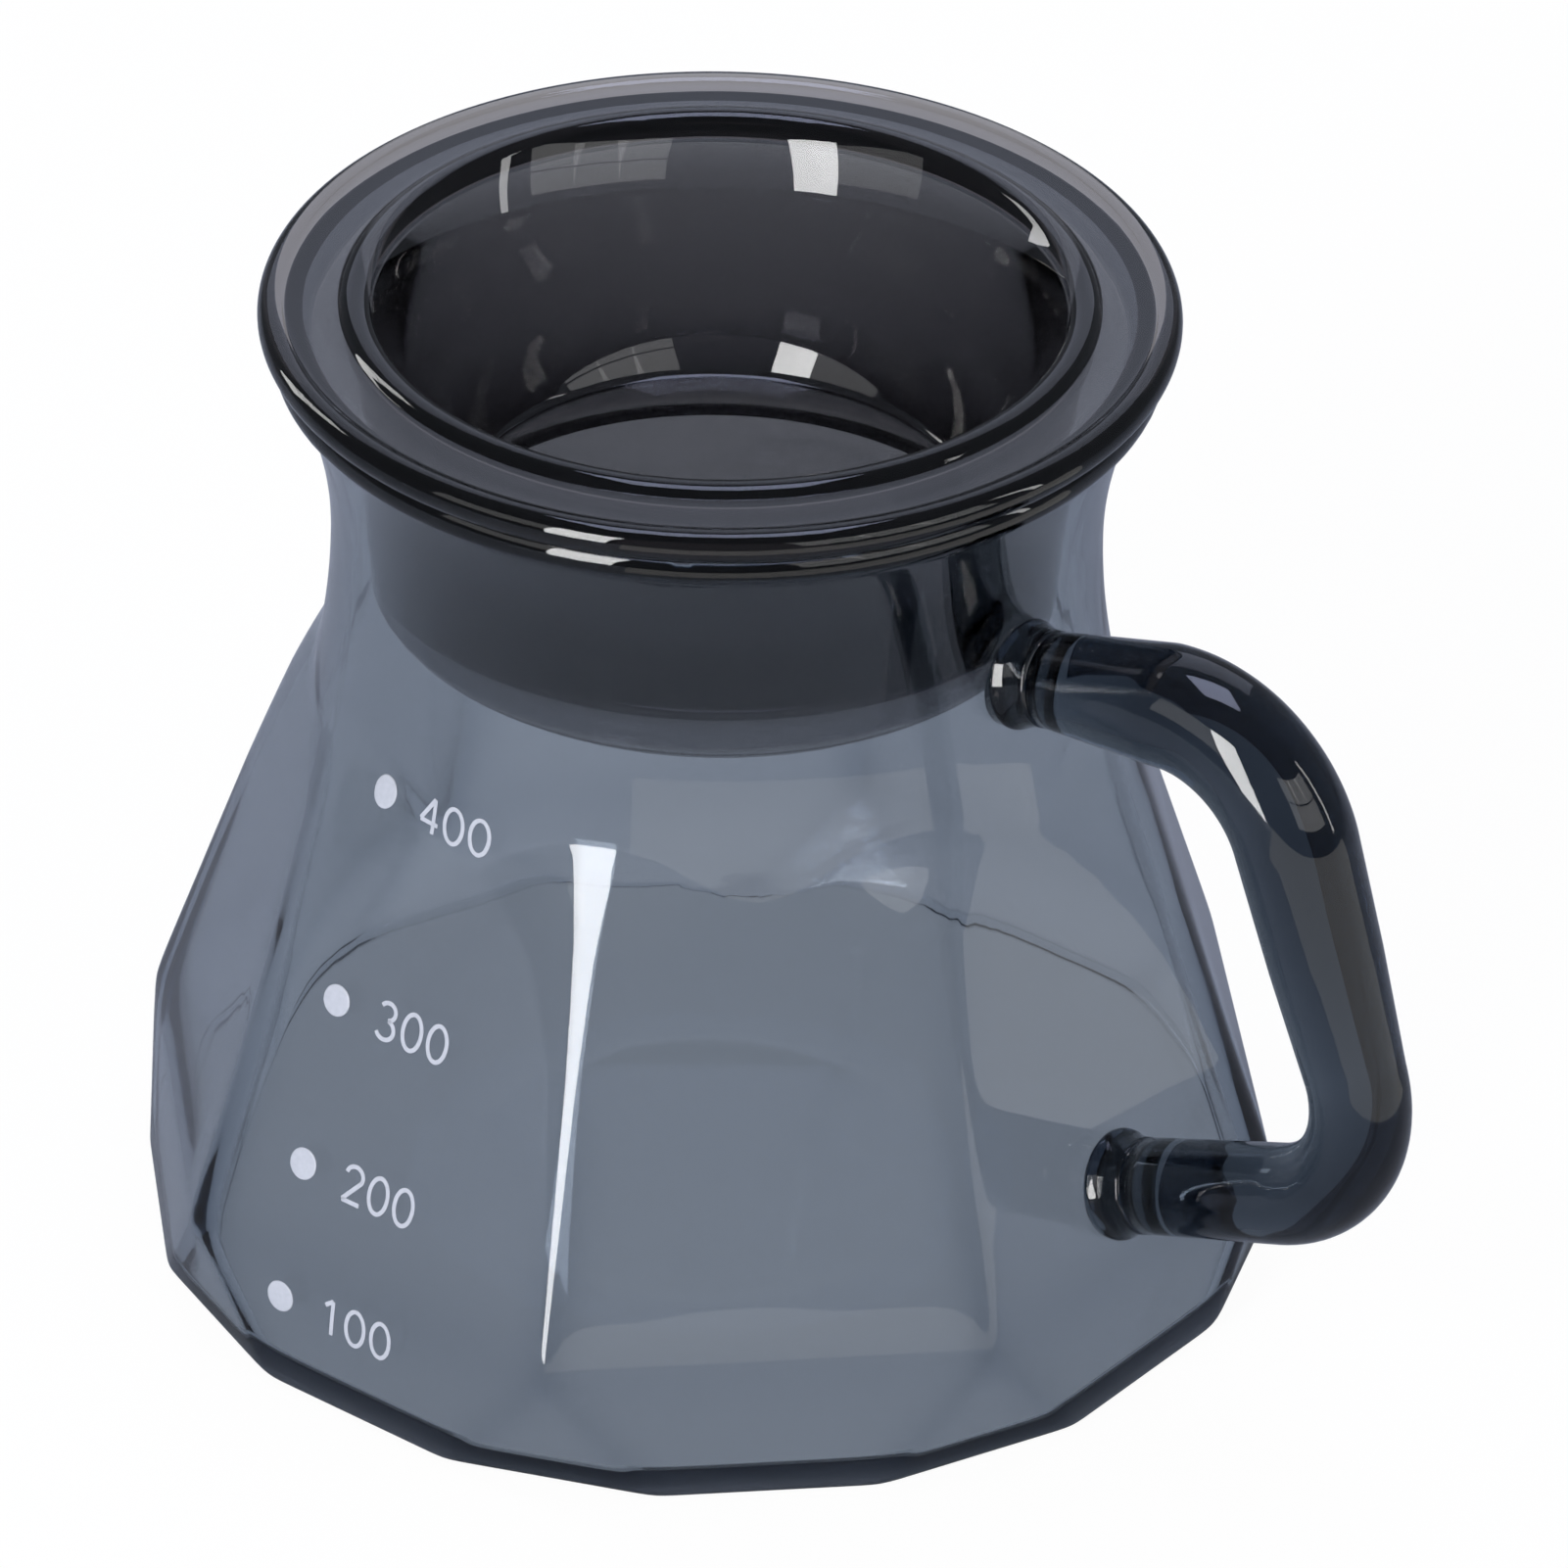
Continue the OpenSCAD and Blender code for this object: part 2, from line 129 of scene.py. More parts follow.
def side_radius(turn, z, inset):
    """Distance of the blown wall from the axis, for the outside or for the hollow."""
    # The hollow's ridges are softer than the outside's, so the glass is thicker there
    ridge_keen = sharpness(z) if inset == 0 else min(sharpness(z), hollow_power)
    foot_keen = foot_power if inset == 0 else hollow_foot_power
    # A face that is turned away more than this can't bound the direction
    facing = 0.3
    fit = inset / math.cos(facet_lean)
    total = np.zeros_like(turn)
    low = np.zeros_like(turn)
    for k in range(8):
        off = np.cos(turn - 2 * half_turn * k)
        ahead = off > facing
        facet = corner_apothem - facet_slope * (z - corner_height) - fit
        total[ahead] += (corner_radius * off[ahead] / facet) ** ridge_keen
        band = foot_apothem - band_slope * z - inset
        low[ahead] += (corner_radius * off[ahead] / band) ** foot_keen
        off = np.cos(turn - half_turn - 2 * half_turn * k)
        ahead = off > facing
        toe = foot_apothem + toe_slope * z - inset
        low[ahead] += (corner_radius * off[ahead] / toe) ** foot_keen
    cone = fade_radius - inset / math.cos(fade_lean) - math.tan(fade_lean) * (z - fade_height)
    low += (corner_radius / max(cone, 1.0)) ** foot_keen
    body = corner_radius * (total ** (foot_keen / ridge_keen) + low) ** (-1 / foot_keen)
    neck = neck_line(z, inset)
    return np.maximum(body, neck) if z < neck_height else body * 0 + neck


def neck_line(z, inset):
    """Radius of the round neck and of the flare over it, or of their hollow."""
    if z > neck_height:
        reach = math.sqrt((flare_curve + inset) ** 2 - min(z - neck_height, flare_rise) ** 2)
        return neck_radius + flare_curve - reach
    reach = math.sqrt(max((neck_curve + inset) ** 2 - (neck_height - max(z, neck_foot)) ** 2, 0))
    # Below its foot the line tucks in, so that the body is what shows there
    return neck_radius + neck_curve - reach - neck_tuck * max(neck_foot - z, 0)


def ring(z, radius, turn):
    """One ring of points, millimetres turned to metres."""
    radius = radius * np.ones_like(turn)
    return np.stack([radius * np.cos(turn), radius * np.sin(turn), z * np.ones_like(turn)], -1) / 1000


def skin(name, rings):
    """A mesh through a list of rings of equal count, closed on a point at each end."""
    count = len(rings[0])
    points = np.concatenate(rings).tolist()
    faces = []
    last = (len(rings) - 1) * count
    for a in range(0, last, count):
        b = a + count
        faces += [(a + j, a + (j + 1) % count, b + (j + 1) % count, b + j) for j in range(count)]
    for end, first in ((rings[0], 0), (rings[-1], last)):
        points.append(end.mean(0).tolist())
        tip = len(points) - 1
        fan = [(first + (j + 1) % count, first + j, tip) for j in range(count)]
        faces += fan if first == 0 else [face[::-1] for face in fan]
    corners = np.array(points)
    # Rings listed the other way round would leave the skin inside out
    if sum(np.dot(corners[f[0]], np.cross(corners[f[1]], corners[f[2]])) for f in faces[::7]) < 0:
        faces = [face[::-1] for face in faces]
    mesh = bpy.data.meshes.new(name)
    mesh.from_pydata(points, [], faces)
    mesh.update()
    mesh.shade_smooth()
    piece = bpy.data.objects.new(name, mesh)
    bpy.context.scene.collection.objects.link(piece)
    weigh = piece.modifiers.new("weigh", "WEIGHTED_NORMAL")
    weigh.weight = 100
    return piece


# Heights of the sections up the side, crowded round the widest corners
side_heights = np.concatenate([
    np.arange(base_edge, corner_height - 1.2, 0.9),
    corner_height + np.array([-1.0, -0.6, -0.35, -0.15, 0.05, 0.25, 0.6, 1.1]),
    np.arange(corner_height + 1.9, neck_foot, 1.3), np.arange(neck_foot, neck_height, 0.9)])
flat_turn = ring_angles(0)
punt_shares = (0.04, 0.2, 0.4, 0.6, 0.8, 0.94)


def dome(share, lift):
    """One ring of the pushed-up base, or of the floor over it, at a share of its radius."""
    reach = punt_radius * share
    return ring(punt_depth + lift - punt_curve + math.sqrt(punt_curve ** 2 - reach ** 2), reach, flat_turn)


# From the middle of the base outwards, up the outside, over the lip, down the hollow and to its middle
rings = [dome(share, 0) for share in punt_shares]
foot = side_radius(ring_angles(base_edge), base_edge, 0) - base_edge
for share in (0, 0.03, 0.3, 0.6, 0.9, 0.97):
    rings.append(ring(0, punt_radius + (foot - punt_radius) * share, flat_turn))
for step in np.radians(np.arange(0, 90, 11.25)):
    z = base_edge * (1 - math.cos(step))
    turn = ring_angles(z)
    rings.append(ring(z, side_radius(turn, z, 0) - base_edge * (1 - math.sin(step)), turn))
for z in side_heights:
    turn = ring_angles(z)
    rings.append(ring(z, side_radius(turn, z, 0), turn))
round_turn = ring_angles(neck_height)
for z in np.linspace(neck_height, bead_z - lip_bead, 22):
    rings.append(ring(z, neck_line(z, 0), round_turn))
for step in np.radians(np.arange(bead_start, bead_end, 7.5)):
    z = min(bead_z + lip_bead * math.sin(step), lip_height)
    rings.append(ring(z, lip_radius + lip_bead * math.cos(step), round_turn))
for z in np.linspace(bead_z - lip_tuck, neck_height, 20):
    rings.append(ring(z, neck_line(z, wall), round_turn))
floor_top, floor_margin, floor_gauge = floor_thick + inner_edge, 0.3, 5
for z in side_heights[side_heights > floor_top + floor_margin][::-1]:
    turn = ring_angles(z)
    rings.append(ring(z, side_radius(turn, z, wall), turn))
for step in np.radians(np.arange(0, 91, 9)):
    z = floor_thick + inner_edge * (1 - math.sin(step))
    turn = ring_angles(z)
    rings.append(ring(z, side_radius(turn, z, wall) - inner_edge * (1 - math.cos(step)), turn))
inside = side_radius(flat_turn, floor_gauge, wall) - inner_edge
for share in (0.98, 0.9, 0.6, 0.3, 0.03, 0):
    rings.append(ring(floor_thick, punt_radius + (inside - punt_radius) * share, flat_turn))
rings += [dome(share, floor_thick) for share in punt_shares[::-1]]
vessel = skin("carafe_vessel", rings)


def linear(hex_colour):
    """An sRGB hex colour as linear red, green, blue and full alpha."""
    parts = [int(hex_colour[i:i + 2], 16) / 255 for i in (1, 3, 5)]
    return [c / 12.92 if c <= 0.04045 else ((c + 0.055) / 1.055) ** 2.4 for c in parts] + [1.0]


def node(material, kind, settings=None, links=None):
    """Adds one node, sets its sockets and properties, and links its inputs."""
    made = material.node_tree.nodes.new(kind)
    for key, value in (settings or {}).items():
        if isinstance(key, int) or key in made.inputs:
            made.inputs[key].default_value = value
        else:
            setattr(made, key, value)
    for key, source in (links or {}).items():
        material.node_tree.links.new(source, made.inputs[key])
    return made


def smoked_glass(name, ripple_mm, ripple_height_mm, smoke_per_mm):
    """Smoked borosilicate: a clear glossy skin, and smoke in the body, so that thick glass goes black.

    Smoke is what a millimetre of glass takes from red, green and blue. The ripple is the slow wave
    that hot working leaves in the skin, closer along the height than round it.
    """
    glass = bpy.data.materials.new(name)
    glass.use_nodes = True
    glass.node_tree.nodes.clear()
    where = node(glass, "ShaderNodeTexCoord")
    squeeze = node(glass, "ShaderNodeMapping", {"Scale": (1, 1, 2.5)},
                   {"Vector": where.outputs["Object"]})
    ripple = node(glass, "ShaderNodeTexNoise", {"Scale": 1000 / ripple_mm, "Detail": 1.0},
                  {"Vector": squeeze.outputs["Vector"]})
    bump = node(glass, "ShaderNodeBump", {"Strength": 1.0, "Distance": ripple_height_mm / 1000},
                {"Height": ripple.outputs["Fac"]})
    skin_shader = node(glass, "ShaderNodeBsdfPrincipled", {
        "Base Color": linear("#ffffff"), "Roughness": 0.0, "IOR": 1.5, "Transmission Weight": 1.0},
        {"Normal": bump.outputs["Normal"]})
    most = max(smoke_per_mm)
    smoke = node(glass, "ShaderNodeVolumeAbsorption", {
        "Color": [1 - each / most for each in smoke_per_mm] + [1.0], "Density": most * 1000})
    node(glass, "ShaderNodeOutputMaterial", None,
         {"Surface": skin_shader.outputs["BSDF"], "Volume": smoke.outputs["Volume"]})
    return glass


blown_glass = smoked_glass("blown_smoked_glass", ripple_mm=26.0, ripple_height_mm=0.02,
                           smoke_per_mm=(0.325, 0.292, 0.25))
vessel.data.materials.append(blown_glass)
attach(vessel, "server")
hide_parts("vessel")

# Handle: one solid glass rod, heated and bent twice, drawn out a little at the lower bend.
# Being thick it looks almost black.
arm_radius, upper_rod_radius, grip_radius, lower_rod_radius = 4.9, 6.2, 5.8, 5.1
upper_reach, upper_lift, lower_reach, lower_height = 30.2, 3.7, 26.0, 34.5
upper_corner = np.array([neck_radius + upper_reach, neck_height + upper_lift])
lower_corner = np.array([corner_radius + lower_reach, lower_height])
upper_rise, lower_rise = math.radians(11), math.radians(20.5)
upper_bend, lower_bend, root_stand = 14.5, 14.0, 4.4
upper_steps, bend_steps, grip_steps, lower_steps = 12, 30, 24, 10
upper_way = np.array([math.cos(upper_rise), math.sin(upper_rise)])
lower_way = np.array([math.cos(lower_rise), math.sin(lower_rise)])
grip_way = (lower_corner - upper_corner) / np.linalg.norm(lower_corner - upper_corner)
grip_angle = math.atan2(grip_way[1], grip_way[0])
upper_turn = upper_rise - grip_angle
lower_turn = math.pi - lower_rise + grip_angle
upper_trim = upper_bend * math.tan(upper_turn / 2)
lower_trim = lower_bend * math.tan(lower_turn / 2)
upper_arm = upper_corner[0] - neck_radius - root_stand
upper_root = upper_corner - upper_way * upper_arm / upper_way[0]
lower_line = lower_corner[1] - lower_way[1] / lower_way[0] * lower_corner[0]
lower_foot = (corner_apothem + facet_slope * (corner_height - lower_line)) / (
    1 + facet_slope * lower_way[1] / lower_way[0])
lower_arm = lower_corner[0] - lower_foot - root_stand * lower_way[0]
lower_root = lower_corner - lower_way * lower_arm / lower_way[0]


def run(a, b, count):
    """Points of a straight run, both ends among them."""
    return [(a[0] + (b[0] - a[0]) * i / count, a[1] + (b[1] - a[1]) * i / count)
            for i in range(count + 1)]


def bend(start, way, turn, radius, count):
    """Points of a bend of the rod to the right, from a start along a way, without its last point."""
    side = np.array([way[1], -way[0]])
    centre = start + side * radius
    spots = []
    for i in range(count):
        t = -turn * i / count
        arm = np.array([[math.cos(t), -math.sin(t)], [math.sin(t), math.cos(t)]]) @ (-side * radius)
        spots.append(centre + arm)
    return spots


upper_arm_end = upper_corner - upper_way * upper_trim
grip_top = upper_corner + grip_way * upper_trim
grip_foot = lower_corner - grip_way * lower_trim
lower_arm_end = lower_corner - lower_way * lower_trim
route = np.array(run(upper_root, upper_arm_end, upper_steps)[:-1]
                 + bend(upper_arm_end, upper_way, upper_turn, upper_bend, bend_steps)
                 + run(grip_top, grip_foot, grip_steps)[:-1]
                 + bend(grip_foot, grip_way, lower_turn, lower_bend, bend_steps)
                 + run(lower_arm_end, lower_root, lower_steps))
gone = np.concatenate([[0], np.cumsum(np.linalg.norm(np.diff(route, axis=0), axis=1))])
half_grip = grip_steps // 2
marks = np.cumsum([0, upper_steps, bend_steps, half_grip, half_grip, bend_steps, lower_steps])
thick = np.interp(gone, gone[marks], [arm_radius, upper_rod_radius, upper_rod_radius, grip_radius,
                                      lower_rod_radius, lower_rod_radius, arm_radius])


def rod_ring(spot, way, r):
    """One round section of the rod, square to its way in the XZ plane, in millimetres."""
    around = np.linspace(0, 2 * math.pi, 56, endpoint=False)
    x = spot[0] - r * np.cos(around) * way[1]
    z = spot[1] + r * np.cos(around) * way[0]
    return np.stack([x, r * np.sin(around), z], -1)


ways = np.gradient(route, axis=0)
ways /= np.linalg.norm(ways, axis=1)[:, None]
handle = skin("handle_rod_glass", [rod_ring(*each) / 1000 for each in zip(route, ways, thick)])
rod_glass = smoked_glass("bent_rod_glass", ripple_mm=14.0, ripple_height_mm=0.03,
                         smoke_per_mm=(0.33, 0.30, 0.265))
handle.data.materials.append(rod_glass)
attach(handle, "server")
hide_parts("handle_rod")

# Handle roots: the two ends of the same rod, pressed on while hot and fused to the vessel.
# Each swells into a soft bead on the glass, by a share of the bead's size at each depth.
root_bead, fused_gap, settle_share = 0.9, 0.02, 0.6
bead_depths = [0, 0.8, 1.6, 2.3, 2.9, 3.3, 3.6, 3.9, 4.1, 4.25]
bead_swell = [0, 0.02, 0.08, 0.22, 0.42, 0.62, 0.78, 0.88, 0.84, 0.68]


def root(name, at, way, node_name):
    """One end of the rod; its last ring is let down along the rod until it lies on the vessel."""
    rings = []
    for depth, swell in zip(bead_depths, bead_swell):
        rings.append(rod_ring(at - way * depth, way, arm_radius + root_bead * swell))
    fused = rings[-1].copy()
    for point in fused:
        for _ in range(60):
            turn = np.array([math.atan2(point[1], point[0])])
            gap = math.hypot(point[0], point[1]) - side_radius(turn, point[2], 0)[0]
            if gap < fused_gap:
                break
            point[0] -= way[0] * gap * settle_share
            point[2] -= way[1] * gap * settle_share
    rings.append(fused)
    piece = skin(name, [each / 1000 for each in rings])
    piece.data.materials.append(rod_glass)
    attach(piece, "server")
    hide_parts(node_name)


root("upper_root_glass", upper_root, upper_way, "upper_handle_root")
root("lower_root_glass", lower_root, lower_way, "lower_handle_root")

# Lid: one pressing of the same smoked glass, a flange with a bead at each edge and a cup with a
# thick foot that hangs in the neck. It only lies on the ground lip.
flange_overhang, flange_thick, rim_bead, mouth_bead = 1.4, 3.0, 1.7, 2.0
plug_clearance, plug_draft, plug_reach, plug_edge = 2.0, math.radians(6.7), 7.5, 4.0
cup_wall, cup_floor, cup_edge = 2.9, 9.0, 1.5
cup_draft, mouth_sweep, mouth_sweep_turn, foot_sweep, foot_sweep_turn = 10.5, 18.0, 28.0, 20.0, 24.0
foot_hollow, foot_ring, foot_break = 5.8, 3.4, 0.6
rim_wrap, mouth_wrap, rim_run, mouth_run, crease = 128, 34, 1.5, 1.9, 0.03
flange_top = lip_height + flange_thick
cup_base_z = neck_height - plug_reach
cup_floor_z = cup_base_z + cup_floor
mouth_z = flange_top - mouth_bead / 2
flange_radius = lip_radius + lip_bead + flange_overhang
plug_slope = math.tan(plug_draft)
plug_neck = neck_radius - wall - plug_clearance
plug_foot = plug_neck - plug_slope * (plug_reach - plug_edge)
plug_top = plug_neck + plug_slope * lip_rise
mouth_radius = plug_top - cup_wall
plug_turn_in = plug_edge * (plug_slope + (1 - math.sin(plug_draft)) / math.cos(plug_draft))
hollow_reach, hollow_round = plug_foot - foot_ring, foot_hollow / 2


def arc(x, z, wide, tall, start, end, count):
    """Points of an arc, or of part of an oval, from a start to an end in degrees."""
    steps = np.radians(np.linspace(start, end, count))
    return [(x + wide * math.cos(s), z + tall * math.sin(s)) for s in steps]


# Underneath: the hollow from its middle outwards, the ring it stands on, and the outside of the cup
profile = [(hollow_reach * s, cup_base_z + foot_hollow) for s in (0.02, 0.3, 0.6, 0.85)]
profile += arc(hollow_reach - hollow_round, cup_base_z + hollow_round, hollow_round, hollow_round,
               90, 0, 10)
profile += [(hollow_reach + foot_break / 30, cup_base_z + foot_break),
            (hollow_reach + foot_break / 3, cup_base_z + foot_break / 6),
            (hollow_reach + foot_break, cup_base_z)]
profile += arc(plug_foot - plug_turn_in, cup_base_z + plug_edge, plug_edge, plug_edge,
               -90, -math.degrees(plug_draft), 12)
# Flange: a small soft corner under it, the bead of its rim, its flat top, and up to the mouth's bead
profile += run(profile[-1], (plug_top - 0.5, lip_height - 0.6), 16)[1:-1]
profile += [(plug_top + out, lip_height - down) for out, down in ((-0.42, 0.35), (-0.2, 0.1), (0.3, 0))]
profile += run(profile[-1], (flange_radius - rim_bead, lip_height), 8)[1:-1]
profile += arc(flange_radius - rim_bead, lip_height + rim_bead, rim_bead, rim_bead, -90, rim_wrap, 22)
rim_foot = flange_radius - rim_bead - rim_run
mouth_foot = mouth_radius + mouth_bead + mouth_run
profile += [(rim_foot, flange_top + crease)]
profile += run((rim_foot, flange_top), (mouth_foot, flange_top), 6)[1:-1]
profile += [(mouth_foot - 0.1, flange_top + crease)]
# Inside, the wall comes off the mouth in a slow curve, runs steep, and sweeps out into the foot
mouth_lean, foot_lean = cup_draft + mouth_sweep_turn, cup_draft + foot_sweep_turn
steep, mouth_tilt, foot_tilt = np.radians([cup_draft, mouth_lean, foot_lean]).tolist()
bead_x = mouth_radius + mouth_bead
profile += arc(bead_x, mouth_z, mouth_bead, mouth_bead, mouth_wrap, 180 - mouth_lean, 18)
sweep_x = bead_x + (mouth_sweep - mouth_bead) * math.cos(mouth_tilt)
sweep_z = mouth_z - (mouth_sweep - mouth_bead) * math.sin(mouth_tilt)
profile += arc(sweep_x, sweep_z, mouth_sweep, mouth_sweep, 180 - mouth_lean, 180 - cup_draft, 10)[1:]
top_x, top_z = profile[-1]
drop = foot_sweep * (math.sin(foot_tilt) - math.sin(steep))
wall_low_z = cup_floor_z + cup_edge * (1 - math.sin(foot_tilt)) + drop
wall_low_x = top_x - (top_z - wall_low_z) * math.tan(steep)
profile += run((top_x, top_z), (wall_low_x, wall_low_z), 6)[1:-1]
bowl_x = wall_low_x - foot_sweep * math.cos(steep)
bowl_z = wall_low_z + foot_sweep * math.sin(steep)
profile += arc(bowl_x, bowl_z, foot_sweep, foot_sweep, -cup_draft, -foot_lean, 10)
cup_x = bowl_x + (foot_sweep - cup_edge) * math.cos(foot_tilt)
profile += arc(cup_x, cup_floor_z + cup_edge, cup_edge, cup_edge, -foot_lean, -90, 12)[1:]
profile += [(cup_x * s, cup_floor_z) for s in (0.98, 0.9, 0.6, 0.3, 0.02)]
lid_turns = np.linspace(0, 2 * math.pi, 192, endpoint=False)
lid = skin("lid_glass_pressing", [ring(z, x, lid_turns) for x, z in profile])
pressed_glass = smoked_glass("pressed_smoked_glass", ripple_mm=20.0, ripple_height_mm=0.02,
                             smoke_per_mm=(0.405, 0.415, 0.405))
lid.data.materials.append(pressed_glass)
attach(lid, "lid")
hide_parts("lid")

# Volume marks: a dot for each hundred, with its plain number beside it, screen-printed in white
# enamel on one facet and fired on. The dots are nodes of the frame; the numbers lie beside them.
dot_offset, dot_radius, enamel_thick = 10.5, 1.65, 0.15
dot_shares = {"100": 0.151, "200": 0.361, "300": 0.612, "400": 0.927}
dot_profile = [(dot_radius, 0.01), (dot_radius, 0.07), (dot_radius - 0.05, 0.12),
               (dot_radius - 0.2, enamel_thick), (0.4, enamel_thick)]
number_height, number_width, number_step, pen = 3.8, 2.3, 3.25, 0.46
number_start, number_lift, ink_foot, ink_top = -5.2, 0.2, 0.02, 0.08
# Fired enamel is satin and a little uneven: the screen leaves a faint grain half a millimetre across
grain_mm, grain_height_mm = 0.5, 0.02
enamel_thin, enamel_full = "#9ea3af", "#b0b4c0"
enamel_print = bpy.data.materials.new("fired_white_enamel")
enamel_print.use_nodes = True
enamel_print.node_tree.nodes.clear()
print_where = node(enamel_print, "ShaderNodeTexCoord")
grain = node(enamel_print, "ShaderNodeTexNoise", {"Scale": 1000 / grain_mm, "Detail": 2.0},
             {"Vector": print_where.outputs["Object"]})
# Sockets 6 and 7 of the mix are its two colours
tone = node(enamel_print, "ShaderNodeMix",
            {"data_type": "RGBA", 6: linear(enamel_thin), 7: linear(enamel_full)},
            {"Factor": grain.outputs["Fac"]})
relief = node(enamel_print, "ShaderNodeBump", {"Strength": 0.4, "Distance": grain_height_mm / 1000},
              {"Height": grain.outputs["Fac"]})
print_skin = node(enamel_print, "ShaderNodeBsdfPrincipled", {"Roughness": 0.38, "IOR": 1.5},
                  {"Base Color": tone.outputs[2], "Normal": relief.outputs["Normal"]})
node(enamel_print, "ShaderNodeOutputMaterial", None, {"Surface": print_skin.outputs["BSDF"]})


def on_facet(x, up, height, proud):
    """A point of the printed facet, x across it and up along its slope from a height, in metres."""
    low = height < corner_height
    lean = math.atan(band_slope) if low else facet_lean
    apothem = foot_apothem - band_slope * height if low else (
        corner_apothem - facet_slope * (height - corner_height))
    z = height + up * math.cos(lean)
    spot = np.array([x, -apothem + up * math.sin(lean)])
    reach = side_radius(np.array([math.atan2(spot[1], spot[0])]), z, 0)[0] / np.linalg.norm(spot)
    return (spot[0] * reach / 1000, (spot[1] * reach - proud) / 1000, z / 1000)


def stroke(points, width):
    """Left and right edges of a pen stroke through points on the facet."""
    points = np.array(points, float)
    ways = np.gradient(points, axis=0)
    ways /= np.maximum(np.linalg.norm(ways, axis=1), 1e-9)[:, None]
    side = np.stack([-ways[:, 1], ways[:, 0]], -1) * width / 2
    return points + side, points - side


# Each number in pen strokes on a box that is 1 wide and this high
box_height = 1.75
number_strokes = {
    "0": [arc(0.5, 0.875, 0.5, 0.875, 0, 360, 40)],
    "1": [run((0.62, 0), (0.62, box_height), 6), run((0.62, box_height), (0.2, 1.42), 6)],
    "2": [arc(0.5, 1.27, 0.46, 0.48, 168, -22, 18) + run((0.93, 1.1), (0.04, 0.02), 8),
          run((0.04, 0), (1, 0), 6)],
    "3": [arc(0.48, 1.33, 0.42, 0.42, 150, -80, 18), arc(0.48, 0.45, 0.48, 0.47, 80, -155, 18)],
    "4": [run((0.78, 0), (0.78, box_height), 6), run((0.78, box_height), (0.02, 0.52), 6),
          run((0.02, 0.5), (1.04, 0.5), 6)],
}
for label, share in dot_shares.items():
    height = share * facet_height
    dot_turns = np.linspace(0, 2 * math.pi, 48, endpoint=False)
    dot_rings = [np.array([on_facet(-dot_offset + r * math.cos(a), r * math.sin(a), height, proud)
                           for a in dot_turns]) for r, proud in dot_profile]
    dot = skin("dot_print_" + label, dot_rings)
    dot.data.materials.append(enamel_print)
    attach(dot, "server")
    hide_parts("dot_" + label)
    points, faces = [], []
    for k, digit in enumerate(label):
        left = number_start + k * number_step
        for spots in number_strokes[digit]:
            a, b = stroke([(left + x * number_width, (z / box_height - 0.5) * number_height + number_lift)
                           for x, z in spots], pen)
            first = len(points)
            for edge, proud in ((a, ink_foot), (a, ink_top), (b, ink_top), (b, ink_foot)):
                points += [on_facet(x, up, height, proud) for x, up in edge]
            n = len(a)
            for lane in range(4):
                one, two = first + lane * n, first + (lane + 1) % 4 * n
                faces += [(one + i, one + i + 1, two + i + 1, two + i) for i in range(n - 1)]
            faces += [(first, first + n, first + 2 * n, first + 3 * n),
                      (first + 4 * n - 1, first + 3 * n - 1, first + 2 * n - 1, first + n - 1)]
    mesh = bpy.data.meshes.new("number_" + label)
    mesh.from_pydata(points, [], faces)
    mesh.update()
    number = bpy.data.objects.new("number_print_" + label, mesh)
    bpy.context.scene.collection.objects.link(number)
    number.data.materials.append(enamel_print)
    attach(number, "server")

# Studio sheet: white paper laid flat under the server, matt and much larger than it, which looks
# white and keeps the server's shadow. The server stands on it by its own weight.
sheet_half, sheet_drop = 3.0, 0.0003
sheet_corners = [(-sheet_half, -sheet_half, 0), (sheet_half, -sheet_half, 0),
                 (sheet_half, sheet_half, 0), (-sheet_half, sheet_half, 0)]
sheet_mesh = bpy.data.meshes.new("studio_sheet")
sheet_mesh.from_pydata(sheet_corners, [], [(0, 1, 2, 3)])
studio_sheet = bpy.data.objects.new("studio_sheet", sheet_mesh)
bpy.context.scene.collection.objects.link(studio_sheet)
studio_sheet.location.z = -sheet_drop
paper = bpy.data.materials.new("white_paper")
paper.use_nodes = True
paper.node_tree.nodes.clear()
seen = node(paper, "ShaderNodeLightPath")
looked_at = node(paper, "ShaderNodeMath", {"operation": "MAXIMUM"},
                 {0: seen.outputs["Is Camera Ray"], 1: seen.outputs["Is Glossy Ray"]})
white_share = node(paper, "ShaderNodeMath", {"operation": "MULTIPLY", 1: 0.96},
                   {0: looked_at.outputs[0]})
# A ray through clear glass counts as both glossy and transmitted. There the sheet keeps more shadow
shadow_share = node(paper, "ShaderNodeMath", {"operation": "MULTIPLY", 1: 0.3},
                    {0: seen.outputs["Is Transmission Ray"]})
glow_share = node(paper, "ShaderNodeMath", {"operation": "SUBTRACT"},
                  {0: white_share.outputs[0], 1: shadow_share.outputs[0]})
paper_skin = node(paper, "ShaderNodeBsdfDiffuse", {"Color": linear("#f4f4f4")})
paper_glow = node(paper, "ShaderNodeEmission", {"Color": linear("#ffffff"), "Strength": 1.0})
paper_mix = node(paper, "ShaderNodeMixShader", None,
                 {0: glow_share.outputs[0], 1: paper_skin.outputs[0], 2: paper_glow.outputs[0]})
node(paper, "ShaderNodeOutputMaterial", None, {"Surface": paper_mix.outputs[0]})
studio_sheet.data.materials.append(paper)

